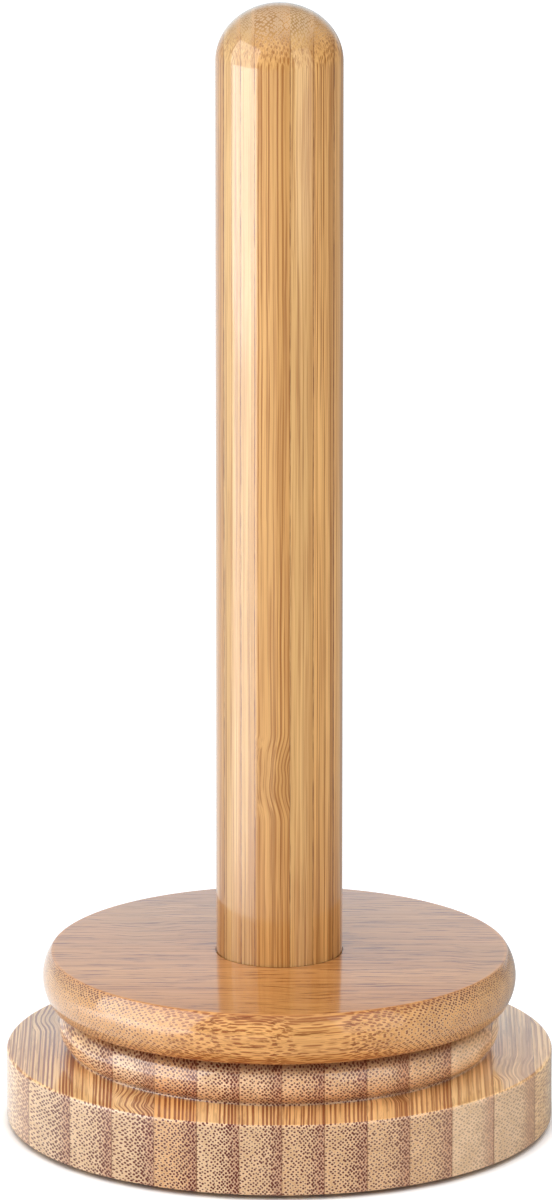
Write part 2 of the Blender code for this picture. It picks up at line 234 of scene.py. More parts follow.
class ShapeGraph(Graph):
    """A Geometry Nodes tree with named inputs, which ends in a realised, dressed mesh."""

    def __init__(self, name: str, **inputs: float | int) -> None:
        """Start a tree.

        Args:
            name: The tree's name.
            **inputs: Its inputs and their defaults. An int makes a whole-number input.
        """
        super().__init__(bpy.data.node_groups.new(name, "GeometryNodeTree"))
        face = self.tree.interface
        face.new_socket("Geometry", in_out="INPUT", socket_type="NodeSocketGeometry")
        for key, default in inputs.items():
            kind = "NodeSocketInt" if isinstance(default, int) else "NodeSocketFloat"
            face.new_socket(key, in_out="INPUT", socket_type=kind).default_value = default
        face.new_socket("Material", in_out="INPUT", socket_type="NodeSocketMaterial")
        face.new_socket("Geometry", in_out="OUTPUT", socket_type="NodeSocketGeometry")
        self.given = self.add("NodeGroupInput").outputs

    def end(self, geometry: Socket) -> bpy.types.NodeTree:
        """Realise the instances, set the material and hand over the tree."""
        plain = self.add("GeometryNodeRealizeInstances", {0: geometry}).outputs[0]
        inputs = {"Geometry": plain, "Material": self.given["Material"]}
        dressed = self.add("GeometryNodeSetMaterial", inputs)
        self.add("NodeGroupOutput", {0: dressed.outputs[0]})
        return self.tree

    def places(self) -> tuple[Socket, Socket]:
        """Points spread evenly round a circle, from the inputs that a ring tree has.

        Returns:
            The points and the rotation of what stands on each of them.
        """
        index = self.add("GeometryNodeInputIndex").outputs[0]
        turn = self.times(self.over(index, self.given["count"]), 2 * pi)
        turn = self.plus(turn, self.given["first_turn"])
        spot = self.combine(
            self.times(self.math("COSINE", turn), self.given["circle"]),
            self.times(self.math("SINE", turn), self.given["circle"]),
            self.given["height"],
        )
        points = self.add("GeometryNodePoints", {"Count": self.given["count"], "Position": spot})
        lean = self.combine(0.0, self.given["tilt"], turn)
        spin = self.add("FunctionNodeEulerToRotation", {0: lean})
        return points.outputs[0], spin.outputs[0]

    def moved(self, geometry: Socket, height: Value) -> Socket:
        """The geometry lifted by a height."""
        inputs = {"Geometry": geometry, "Translation": self.combine(0.0, 0.0, height)}
        return self.add("GeometryNodeTransform", inputs).outputs[0]

    def stood(self, geometry: Socket) -> Socket:
        """The geometry repeated at each of the ring's places."""
        points, spin = self.places()
        inputs = {"Points": points, "Instance": geometry, "Rotation": spin}
        return self.add("GeometryNodeInstanceOnPoints", inputs).outputs[0]

    def boolean(self, operation: str, body: Socket, *others: Socket) -> Socket:
        """Join to a mesh, or take from it, what the other meshes fill."""
        node = self.add("GeometryNodeMeshBoolean", operation=operation, solver="MANIFOLD")
        if operation == "DIFFERENCE":
            self.feed(node.inputs[0], body)
        else:
            others = (body, *others)
        for other in others:
            self.feed(node.inputs[1], other)
        return node.outputs[0]


SEAM = 1e-6
BIT_SIDES = 48
RING_INPUTS = {"count": 1, "circle": 0.0, "first_turn": 0.0, "height": 0.0, "tilt": 0.0}


def turning_tree() -> bpy.types.NodeTree:
    """A tree that turns a section, drawn as edges in the XZ plane, about Z."""
    graph = ShapeGraph("turned", segments=256, guide=20 * MM)
    section = graph.add("GeometryNodeMeshToCurve", {0: graph.given["Geometry"]})
    point = graph.separate(graph.add("GeometryNodeInputPosition").outputs[0])
    # The section is swept round a guide circle, so it is drawn as offsets from that circle.
    # A swept section's own Y points down.
    down = graph.times(point["Z"], -1.0)
    offset = graph.combine(graph.minus(point["X"], graph.given["guide"]), down, 0.0)
    inputs = {"Geometry": section.outputs[0], "Position": offset}
    flat = graph.add("GeometryNodeSetPosition", inputs)
    guide = graph.add(
        "GeometryNodeCurvePrimitiveCircle",
        {"Resolution": graph.given["segments"], "Radius": graph.given["guide"]},
        mode="RADIUS",
    )
    level = graph.add("GeometryNodeSetCurveNormal", {0: guide.outputs[0]}, mode="Z_UP")
    inputs = {"Curve": level.outputs[0], "Profile Curve": flat.outputs[0]}
    swept = graph.add("GeometryNodeCurveToMesh", inputs)
    inputs = {"Geometry": swept.outputs[0], "Distance": SEAM}
    return graph.end(graph.add("GeometryNodeMergeByDistance", inputs).outputs[0])


def ring_tree() -> bpy.types.NodeTree:
    """A tree that repeats a piece evenly round a circle."""
    graph = ShapeGraph("ring_of_copies", **RING_INPUTS)
    return graph.end(graph.stood(graph.given["Geometry"]))


def drilling_tree() -> bpy.types.NodeTree:
    """A tree that drills a piece at places round a circle, with or without a countersink."""
    graph = ShapeGraph("drilled", **RING_INPUTS, radius=MM, depth=MM, rise=MM, mouth=0.0)
    half = graph.times(graph.given["depth"], 0.5)
    bit = graph.add(
        "GeometryNodeMeshCylinder",
        {"Vertices": BIT_SIDES, "Radius": graph.given["radius"], "Depth": graph.given["depth"]},
    )
    hole = graph.moved(bit.outputs[0], graph.minus(graph.given["rise"], half))
    # A countersink's cone drops as fast as it narrows, and reaches above the face by the rise
    reach = graph.plus(graph.given["mouth"], graph.given["rise"])
    cone = graph.add(
        "GeometryNodeMeshCone",
        {"Vertices": BIT_SIDES, "Radius Top": reach, "Radius Bottom": 0.01 * MM, "Depth": reach},
    )
    sink = graph.moved(cone.outputs[0], graph.times(graph.given["mouth"], -1.0))
    cut = graph.boolean("DIFFERENCE", graph.given["Geometry"], graph.stood(hole), graph.stood(sink))
    return graph.end(cut)


def threading_tree() -> bpy.types.NodeTree:
    """A tree that cuts a cross into a screw's head and winds a thread round its shank."""
    graph = ShapeGraph(
        "threaded",
        **{"turns": 6.0, "pitch": MM, "shank": MM, "ridge": 0.3 * MM, "start": 0.0},
        **{"cross_width": MM, "cross_length": MM, "cross_depth": MM, "cross_height": 0.0},
    )
    given = graph.given
    arms = []
    for size in (
        graph.combine(given["cross_length"], given["cross_width"], given["cross_depth"]),
        graph.combine(given["cross_width"], given["cross_length"], given["cross_depth"]),
    ):
        arm = graph.add("GeometryNodeMeshCube", {"Size": size})
        arms.append(graph.moved(arm.outputs[0], given["cross_height"]))
    body = graph.boolean("DIFFERENCE", given["Geometry"], *arms)
    length = graph.times(given["turns"], given["pitch"])
    winding = {"Resolution": 24, "Rotations": given["turns"], "Height": length}
    radii = {"Start Radius": given["shank"], "End Radius": given["shank"]}
    helix = graph.add("GeometryNodeCurveSpiral", {**winding, **radii})
    inputs = {"Resolution": 3, "Radius": given["ridge"]}
    ridge = graph.add("GeometryNodeCurvePrimitiveCircle", inputs, mode="RADIUS")
    inputs = {"Curve": helix.outputs[0], "Profile Curve": ridge.outputs[0], "Fill Caps": True}
    wound = graph.add("GeometryNodeCurveToMesh", inputs)
    thread = graph.moved(wound.outputs[0], graph.minus(given["start"], length))
    return graph.end(graph.boolean("UNION", body, thread))


# ------------------------------------------------------------------ finishes


@dataclass(frozen=True)
class Strip:
    """How one glued strip of bamboo differs from the others.

    Each value runs from 0 to 1: how pale it is, how warm, how dark its fibre bundles are,
    and where along the block its culm had a joint.
    """

    pale: float
    warm: float
    fibres: float
    joint: float


@dataclass(frozen=True)
class Ring:
    """A circle on a turned block made paler (worn finish on edges, a painted highlight on the
    base's bead), or darker below 0 (painted shade).
    """

    radius: float
    height: float
    width: float
    change: float


@dataclass(frozen=True)
class Bamboo:
    """Laminated bamboo under clear lacquer, as one solid pattern through the block.

    The middle and half depth of a board matter only where the bundles crowd out of it.
    Waves are counted per millimetre, first across the fibres and then along them.
    """

    name: str
    fibre: Axis
    layup: Axis
    depth: Axis
    edges: tuple[float, ...]
    strips: tuple[Strip, ...]
    grading: Grading
    reach: float
    middle: float = 0.0
    half: float = 0.0
    rings: tuple[Ring, ...] = ()
    long_contrast: float = 0.5
    face_contrast: float = 0.5
    spacing: float = 1.0 * MM
    crowding: float = 0.7
    glue: float = 0.75
    end_glue: float = 1.0
    long_grain: Colour = (0.66, 0.375, 0.135)
    end_grain: Colour = (0.76, 0.50, 0.29)
    bundle_end: Colour = (0.12, 0.016, 0.008)
    bundle_long: Colour = (0.27, 0.06, 0.010)
    crowded: Colour = (0.40, 0.12, 0.055)
    long_crowd: float = 0.8
    end_contrast: float = 1.0
    end_reach: float = 0.3
    fullness: float = 0.0
    dashes: float = 0.3
    dash_waves: Point = (1.1, 0.07)
    streak_waves: Point = (2.2, 0.02)
    broad_waves: Point = (0.3, 0.006)
    slow_bend: Point = (0.06, 0.012)
    quick_bend: Point = (0.13, 0.08)
    halo: Colour = (0.92, 0.70, 0.48)
    knot_brown: Colour = (0.40, 0.20, 0.06)
    glue_brown: Colour = (0.17, 0.06, 0.02)
    grain_brown: Colour = (0.38, 0.14, 0.03)
    dash_brown: Colour = (0.24, 0.07, 0.012)
    # Painted shade for the darker rings, and the gain of the paler ones: worn finish and painted
    # highlight
    painted_shade: Colour = (0.13, 0.05, 0.02)
    rub_and_highlight_gain: Colour = (1.7, 1.75, 1.8)
    pale_gains: tuple[Colour, Colour] = ((0.86, 0.80, 0.72), (1.13, 1.20, 1.30))
    warm_gains: tuple[Colour, Colour] = ((0.97, 1.04, 1.12), (1.03, 0.88, 0.70))
    broad_gains: tuple[Colour, Colour] = ((0.93, 0.90, 0.86), (1.07, 1.08, 1.10))
    coat_roughness: float = 0.09
    halo_share: float = 0.45
    knot_share: float = 0.16
    knot_turn: float = 1.7
    slow_pull: float = 1.4
    quick_pull: float = 3.2
    jitter: float = 0.46
    bundle_sizes: Point = (0.26, 0.39)
    glare: float = 0.12
    coat_ior: float = 1.46

    # How many strips the colour table holds, and how far apart two strips' patterns lie
    TABLE_ROWS = 32.0
    ROWS_APART = 17.3

    def material(self) -> Material:
        """Build the wood.

        Returns:
            The material.
        """
        graph = ShaderGraph(self.name)
        point = graph.millimetres()
        along = point[self.fibre.value]
        across, depth, knot, strip = self._laid_up(graph, point)
        facing = self._facing(graph, self.fibre)
        end = graph.ramp(facing, 0.02, self.end_reach)
        bundle, halo, cell, crowd = self._bundles(graph, across, depth, strip)
        streak, dash, broad = self._streaks(graph, across, depth, along)
        ground = self._ground(graph, end, strip, (streak, dash, broad), crowd)
        halo = graph.times(graph.times(halo, end), self.halo_share)
        ground = graph.mix(halo, ground, self.halo)
        share = self._bundle_share(graph, end, strip, cell)
        dark = graph.mix(end, self.bundle_long, self.bundle_end)
        colour = graph.mix(graph.times(bundle, share), ground, dark)
        colour = graph.mix(graph.times(knot, self.knot_share), colour, self.knot_brown)
        glue = self._glue(graph, point, strip)
        glue = graph.times(glue, graph.ramp(end, 0.0, 1.0, (1.0, self.end_glue)))
        colour = graph.mix(glue, colour, self.glue_brown)
        colour, worn_and_lit = self._ringed(graph, colour, point)
        height = graph.minus(graph.times(streak, 0.5), graph.times(bundle, 0.6))
        rough = graph.plus(graph.ramp(streak, 0.3, 0.7, (0.36, 0.46)), graph.times(worn_and_lit, 0.15))
        peel = graph.cloud(point, 0.35, 1.0)
        return graph.finish(
            {
                "Base Color": colour,
                "Roughness": rough,
                "Specular IOR Level": self.glare,
                "Coat Weight": 1.0,
                "Coat Roughness": self.coat_roughness,
                "Coat IOR": self.coat_ior,
                "Normal": graph.bump(height, 0.35, 0.04 * MM),
                "Coat Normal": graph.bump(graph.plus(peel, height), 0.05, 0.05 * MM),
            }
        )

    def _facing(self, graph: ShaderGraph, axis: Axis) -> Socket:
        """How squarely the surface faces along an axis, from 0 to 1."""
        lean = graph.vector("DOT_PRODUCT", graph.place.outputs["Normal"], axis.arrow)
        return graph.math("POWER", graph.math("ABSOLUTE", lean.outputs["Value"]), 2.0)

    def _laid_up(
        self, graph: ShaderGraph, point: Sockets
    ) -> tuple[Socket, Socket, Socket, Sockets]:
        """Find the strip that a point is in, and bend the fibres a little.

        Args:
            graph: The material's graph.
            point: The point in millimetres, by axis name.

        Returns:
            The bent places across and into the lay-up, how near the point is to a culm
            joint, and the strip's facts: index, place (0 to 1 across it) and its Strip values.
        """
        across, depth, along = (point[axis.value] for axis in (self.layup, self.depth, self.fibre))
        count = None
        for low, high in zip(self.edges[:-1], self.edges[1:]):
            step = graph.ramp(across, low / MM, high / MM, smooth=False)
            count = step if count is None else graph.plus(count, step)
        index = graph.math("FLOOR", count)
        place = graph.over(graph.plus(index, 0.5), self.TABLE_ROWS)
        table = graph.add("ShaderNodeValToRGB", {0: place})
        stops = table.color_ramp.elements
        table.color_ramp.interpolation = "CONSTANT"
        for number, strip in enumerate(self.strips):
            position = number / self.TABLE_ROWS
            stop = stops[number] if number < 2 else stops.new(position)
            stop.position = position
            stop.color = (strip.pale, strip.warm, strip.fibres, strip.joint)
        facts = graph.add("ShaderNodeSeparateColor", {0: table.outputs["Color"]}).outputs
        reach = self.reach / MM
        joint = graph.ramp(table.outputs["Alpha"], 0.0, 1.0, (-reach, reach), smooth=False)
        away = graph.math("ABSOLUTE", graph.minus(along, joint))
        knot = graph.ramp(away, 2.0, 13.0, (1.0, 0.0))
        spot = (across, depth, along)
        slow = graph.noise(self._scaled(graph, spot, self.slow_bend)).outputs["Color"]
        quick = graph.noise(self._scaled(graph, spot, self.quick_bend), 1.0).outputs["Color"]
        bent = []
        for place, channel, share in ((across, "Red", 1.0), (depth, "Green", 0.12)):
            pull = []
            for field, amount in ((slow, self.slow_pull), (quick, self.quick_pull)):
                value = graph.add("ShaderNodeSeparateColor", {0: field}).outputs[channel]
                pull.append(graph.times(graph.minus(value, 0.5), amount))
            turn = graph.times(graph.plus(pull[1], self.knot_turn), share)
            shift = graph.plus(pull[0], graph.times(turn, graph.plus(knot, 0.03)))
            bent.append(graph.plus(place, shift))
        strip = {
            "index": index,
            "place": graph.math("FRACT", count),
            "pale": facts["Red"],
            "warm": facts["Green"],
            "fibres": facts["Blue"],
            "shift": graph.minus(bent[0], across),
        }
        return bent[0], bent[1], knot, strip

    def _scaled(self, graph: ShaderGraph, spot: tuple[Socket, ...], waves: Point) -> Socket:
        """A texture vector whose waves are drawn out along the fibres."""
        fine, long = waves
        scales = (fine, fine, long)
        return graph.combine(*(graph.times(part, scale) for part, scale in zip(spot, scales)))

    def _bundles(
        self, graph: ShaderGraph, across: Socket, depth: Socket, strip: Sockets
    ) -> tuple[Socket, Socket, Socket, Socket]:
        """The fibre bundles, set like the spots on a die and crowded to one side.

        Args:
            graph: The material's graph.
            across: The bent place across the lay-up.
            depth: The bent place into it.
            strip: The strip's facts.

        Returns:
            How much of a point is bundle, how close outside a bundle it is, a random number
            for each bundle, and how crowded the bundles are there.
        """
        spacing = self.spacing / MM
        mean = (self.edges[-1] - self.edges[0]) / (len(self.edges) - 1) / MM
        if self.grading is Grading.ACROSS_STRIP:
            width, other = mean, depth
            place = graph.plus(strip["place"], graph.over(strip["shift"], mean))
        else:
            width, other = self.half / MM, across
            place = graph.over(graph.minus(depth, self.middle / MM), width)
            place = graph.math("ABSOLUTE", place)
        squeezed = graph.math("POWER", graph.math("MAXIMUM", place, 0.0), 2.0)
        squeezed = graph.times(squeezed, 1 - self.crowding)
        row = graph.plus(graph.times(place, self.crowding), squeezed)
        row = graph.times(row, width / spacing)
        row = graph.plus(row, graph.times(strip["index"], self.ROWS_APART))
        column = graph.over(other, spacing)
        lattice = graph.combine(
            graph.times(graph.plus(row, column), sqrt(0.5)),
            graph.times(graph.minus(row, column), sqrt(0.5)),
        )
        cells = graph.add(
            "ShaderNodeTexVoronoi",
            {"Vector": lattice, "Scale": 1.0, "Randomness": self.jitter},
            voronoi_dimensions="2D",
        )
        cell = graph.add("ShaderNodeSeparateColor", {0: cells.outputs["Color"]}).outputs["Red"]
        crowd = graph.ramp(place, 0.1, 1.05, (0.0, 1.0))
        swell = tuple(size + self.fullness for size in self.bundle_sizes)
        size = graph.ramp(crowd, 0.0, 1.0, swell)
        size = graph.plus(size, graph.ramp(cell, 0.0, 1.0, (-0.05, 0.04)))
        inner = graph.minus(size, 0.09)
        outer = graph.plus(size, 0.07)
        away = cells.outputs["Distance"]
        bundle = graph.minus(1.0, graph.ramp(away, inner, outer))
        halo = graph.ramp(away, size, graph.plus(size, 0.28), (1.0, 0.0))
        return bundle, halo, cell, crowd

    def _streaks(self, graph: ShaderGraph, *spot: Socket) -> tuple[Socket, ...]:
        """Fine streaks, short dark dashes and broad streaks along the fibres."""
        fine, short, broad = (
            graph.noise(self._scaled(graph, spot, waves), *detail).outputs[0]
            for waves, detail in (
                (self.streak_waves, (3.0, 0.6)),
                (self.dash_waves, (4.0, 0.65)),
                (self.broad_waves, (2.0,)),
            )
        )
        return fine, graph.ramp(short, 0.53, 0.63), broad

    def _ground(
        self,
        graph: ShaderGraph,
        end: Socket,
        strip: Sockets,
        streaks: tuple[Socket, ...],
        crowd: Socket,
    ) -> Socket:
        """The colour between the bundles.

        Args:
            graph: The material's graph.
            end: How far the surface is end grain.
            strip: The strip's facts.
            streaks: Fine streaks, dashes and broad streaks.
            crowd: How crowded the bundles are.

        Returns:
            The colour's socket.
        """
        streak, dash, broad = streaks
        ground = graph.mix(end, self.long_grain, self.end_grain)
        for fact, gains in (("pale", self.pale_gains), ("warm", self.warm_gains)):
            ground = graph.mix(1.0, ground, graph.mix(strip[fact], *gains), "MULTIPLY")
        for share, by_end, tone in (
            (graph.ramp(crowd, 0.62, 1.12), (self.long_crowd, 0.8), self.crowded),
            (graph.ramp(streak, 0.42, 0.70), (0.55, 0.12), self.grain_brown),
            (dash, (self.dashes, 0.0), self.dash_brown),
        ):
            share = graph.times(share, graph.ramp(end, 0.0, 1.0, by_end))
            ground = graph.mix(share, ground, tone)
        wide = graph.mix(graph.ramp(broad, 0.35, 0.65), *self.broad_gains)
        return graph.mix(1.0, ground, wide, "MULTIPLY")

    def _bundle_share(
        self, graph: ShaderGraph, end: Socket, strip: Sockets, cell: Socket
    ) -> Socket:
        """How strongly the bundles show, by the cut, the strip and the bundle."""
        graded = self.layup if self.grading is Grading.ACROSS_STRIP else self.depth
        flat = self._facing(graph, graded)
        long_share = graph.ramp(flat, 0.3, 0.9, (self.long_contrast, self.face_contrast))
        rise = graph.times(graph.minus(self.end_contrast, long_share), end)
        share = graph.plus(long_share, rise)
        share = graph.times(share, graph.ramp(cell, 0.0, 0.5, (0.85, 1.0)))
        fibres = graph.ramp(strip["fibres"], 0.0, 1.0, (0.1, 1.0), smooth=False)
        return graph.times(share, fibres)

    def _glue(self, graph: ShaderGraph, point: Sockets, strip: Sockets) -> Socket:
        """The thin broken line where two strips meet."""
        across, along = point[self.layup.value], point[self.fibre.value]
        near = None
        for edge in self.edges[1:-1]:
            away = graph.math("ABSOLUTE", graph.minus(across, edge / MM))
            near = away if near is None else graph.math("MINIMUM", near, away)
        line = graph.ramp(near, 0.06, 0.22, (1.0, 0.0))
        broken = graph.combine(graph.times(along, 0.12), strip["index"])
        broken = graph.noise(broken, 3.0).outputs[0]
        return graph.times(line, graph.ramp(broken, 0.35, 0.65, (0.2 * self.glue, self.glue)))

    def _ringed(
        self, graph: ShaderGraph, colour: Socket, point: Sockets
    ) -> tuple[Socket, Socket]:
        """Make the block's rings paler, as worn finish and a painted highlight, or darker, as
        painted shade.

        Args:
            graph: The material's graph.
            colour: The colour so far.
            point: The point in millimetres, by axis name.

        Returns:
            The colour, and the reach of the worn and painted-highlight rings.
        """
        out = graph.length(graph.combine(point["X"], point["Y"]))
        patch = graph.cloud(point, 0.22)
        worn_and_lit = graph.times(patch, 0.0)
        for ring in self.rings:
            gap = graph.combine(
                graph.minus(out, ring.radius / MM),
                graph.minus(point["Z"], ring.height / MM),
            )
            reach, full = ring.width / MM, abs(ring.change)
            near = graph.ramp(graph.length(gap), 0.25 * ring.width / MM, reach, (1.0, 0.0))
            near = graph.times(near, graph.ramp(patch, 0.3, 0.7, (0.6 * full, full)))
            # Paler rings are worn finish and a painted highlight; darker rings are painted shade
            paler = graph.mix(1.0, colour, self.rub_and_highlight_gain, "MULTIPLY")
            colour = graph.mix(near, colour, paler if ring.change > 0 else self.painted_shade)
            if ring.change > 0:
                worn_and_lit = graph.math("MAXIMUM", worn_and_lit, near)
        return colour, worn_and_lit


@dataclass(frozen=True)
class TurnedMetal:
    """Metal with the fine rings of a lathe tool about Z, or plain and even."""

    name: str
    colour: Colour
    roughness: float
    rings_per_mm: float = 0.0
    ring_depth: float = 0.01 * MM

    def material(self) -> Material:
        """Build the metal."""
        graph = ShaderGraph(self.name)
        point = graph.millimetres()
        out = graph.length(graph.combine(point["X"], point["Y"]))
        cloud = graph.noise(graph.combine(point["X"], point["Y"], point["Z"]), 4.0).outputs[0]
        tool = graph.combine(graph.times(out, max(self.rings_per_mm, 0.5)), point["Z"])
        tool = graph.noise(tool, 2.0).outputs[0]
        height = graph.plus(tool, graph.times(cloud, 0.3))
        dull = tuple(0.86 * part for part in self.colour)
        shade = graph.mix(graph.ramp(cloud, 0.3, 0.7), dull, self.colour)
        rough = graph.ramp(height, 0.3, 0.9, (0.8 * self.roughness, 1.3 * self.roughness))
        return graph.finish(
            {
                "Base Color": shade,
                "Metallic": 1.0,
                "Roughness": rough,
                "Normal": graph.bump(height, 0.4, self.ring_depth),
            }
        )


@dataclass(frozen=True)
class Moulded:
    """Moulded plastic or rubber with a fine, dull skin."""

    name: str
    colour: Colour
    worn: Colour
    roughness: float
    grain_per_mm: float
    grain_depth: float
    specular: float = 0.5

    def material(self) -> Material:
        """Build the plastic or rubber."""
        graph = ShaderGraph(self.name)
        point = graph.millimetres()
        grain = graph.cloud(point, self.grain_per_mm, 3.0, 0.6)
        cloud = graph.noise(graph.combine(point["X"], point["Y"], point["Z"]), 2.0).outputs[0]
        colour = graph.mix(graph.ramp(cloud, 0.35, 0.75), self.colour, self.worn)
        rough = graph.ramp(grain, 0.3, 0.7, (self.roughness - 0.06, self.roughness + 0.06))
        return graph.finish(
            {
                "Base Color": colour,
                "Roughness": rough,
                "Specular IOR Level": self.specular,
                "Normal": graph.bump(grain, 0.5, self.grain_depth),
            }
        )


# ------------------------------------------------------------------- shaping


def arc(centre: Point, radius: float, start: float, end: float, steps: int) -> list[Point]:
    """Points along an arc in section.

    Args:
        centre: The arc's centre, as (r, z).
        radius: Its radius.
        start: The angle where it starts, in radians.
        end: The angle where it ends.
        steps: How many chords it has.

    Returns:
        The points, as (r, z).
    """
    turns = [start + (end - start) * step / steps for step in range(steps + 1)]
    return [(centre[0] + radius * cos(turn), centre[1] + radius * sin(turn)) for turn in turns]


def washer(outside: float, inside: float, low: float, high: float, soft: float) -> list[Point]:
    """The section of a flat ring with softened corners.

    Args:
        outside: Its outer radius.
        inside: Its inner radius.
        low: The height of its underside.
        high: The height of its top.
        soft: How far each corner is cut back.

    Returns:
        The points, as (r, z), from the top outer corner round to the top inner one.
    """
    return [
        (outside - soft, high),
        (outside, high - soft),
        (outside, low + soft),
        (outside - soft, low),
        (inside + soft, low),
        (inside, low + soft),
        (inside, high - soft),
        (inside + soft, high),
    ]


class Workshop:
    """Makes pieces from sections with the shape trees, and hands them to the frame."""

    SMOOTH = radians(32)

    def __init__(self) -> None:
        """Build each shape tree once."""
        self.trees = {
            "turned": turning_tree(),
            "ring": ring_tree(),
            "drilled": drilling_tree(),
            "threaded": threading_tree(),
        }

    def turn(
        self,
        name: str,
        points: list[Point],
        material: Material,
        segments: int,
        loop: bool = False,
    ) -> Piece:
        """Turn a section, drawn as edges in the XZ plane, into a piece.

        Args:
            name: The piece's name.
            points: The section's points, as (r, z).
            material: Its finish.
            segments: How many flats go round it.
            loop: Whether the last point joins the first.

        Returns:
            The piece, with its first tree on it.
        """
        mesh = bpy.data.meshes.new(name)
        edges = [(index, index + 1) for index in range(len(points) - 1)]
        if loop:
            edges.append((len(points) - 1, 0))
        mesh.from_pydata([(r, 0.0, z) for r, z in points], edges, [])
        piece = bpy.data.objects.new(name, mesh)
        bpy.context.scene.collection.objects.link(piece)
        self.apply(piece, "turned", material, segments=segments)
        return piece

    def apply(self, piece: Piece, tree: str, material: Material, **values: float) -> None:
        """Put a shape tree on a piece.

        Args:
            piece: The piece.
            tree: The tree's key.
            material: The finish that the tree sets.
            **values: The tree's inputs, by name.
        """
        group = self.trees[tree]
        modifier = piece.modifiers.new(tree, "NODES")
        modifier.node_group = group
        values = {**values, "Material": material}
        for item in group.interface.items_tree:
            if item.in_out == "INPUT" and item.name in values:
                modifier[item.identifier] = values[item.name]

    def settle(self, piece: Piece) -> None:
        """Turn what the trees make into the piece's own plain, clean mesh."""
        depsgraph = bpy.context.evaluated_depsgraph_get()
        mesh = bpy.data.meshes.new_from_object(piece.evaluated_get(depsgraph))
        piece.modifiers.clear()
        piece.data = mesh
        mesh.name = piece.name
        shape = bmesh.new()
        shape.from_mesh(mesh)
        bmesh.ops.remove_doubles(shape, verts=shape.verts, dist=WELD)
        bmesh.ops.recalc_face_normals(shape, faces=shape.faces)
        shape.to_mesh(mesh)
        shape.free()
        mesh.shade_smooth()
        mesh.set_sharp_from_angle(angle=self.SMOOTH)

    def hand_over(self, piece: Piece, body: str, nodes: list[str]) -> None:
        """Settle a piece and give it to the frame.

        Args:
            piece: The piece.
            body: The body that it moves with.
            nodes: The CAD nodes that it stands for.
        """
        self.settle(piece)
        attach(piece, body)
        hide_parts(*nodes)
        faces = len(piece.data.polygons)
        LOG.info("%s: %d faces on %s, for %s", piece.name, faces, body, ", ".join(nodes))


def numbered(stem: str, count: int, digits: int = 1) -> list[str]:
    """The names of a repeated node."""
    return [f"{stem}_{number:0{digits}d}" for number in range(1, count + 1)]


# ---------------------------------------------------------------- assemblies

# Play round what sits in a bore, and how far a bit stands proud of the face that it enters
CLEARANCE = 0.3 * MM
RISE = 1.0 * MM
# Deeper than either race is thick
THROUGH = 20 * MM
# The tenon is this much smaller than the washer that pulls it down
TENON_INSET = 4 * MM
DRIVER_HOLES = 1


@dataclass
class Pads:
    """The rubber pads under the base."""

    count: int = 4
    inset: float = 15 * MM
    round: float = 0.6 * MM
    dimple: float = 0.25 * MM
    lip: float = 0.72
    hollow: float = 0.66
    rubber: Moulded = Moulded(
        "rubber", (0.028, 0.028, 0.030), (0.05, 0.05, 0.052), 0.78, 6.0, 0.03 * MM, 0.35
    )

    def places(self) -> dict[str, float]:
        """The ring that the pads stand on, as a ring tree's inputs."""
        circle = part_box("base")[1].x - self.inset
        return {"count": self.count, "circle": circle, "first_turn": pi / self.count}

    def build(self, shop: Workshop) -> None:
        """Make the pads.

        Args:
            shop: The workshop.
        """
        low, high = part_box("pad_1")
        radius = (high.x - low.x) / 2
        rim = radius - self.round
        points = [
            (0.0, high.z),
            (radius, high.z),
            *arc((rim, low.z + self.round), self.round, 0.0, -pi / 2, 6),
            (self.lip * radius, low.z),
            (self.hollow * radius, low.z + self.dimple),
            (0.0, low.z + self.dimple),
        ]
        rubber = self.rubber.material()
        pads = shop.turn("rubber_pads", points, rubber, segments=48)
        shop.apply(pads, "ring", rubber, **self.places())
        shop.hand_over(pads, "stand", numbered("pad", self.count))


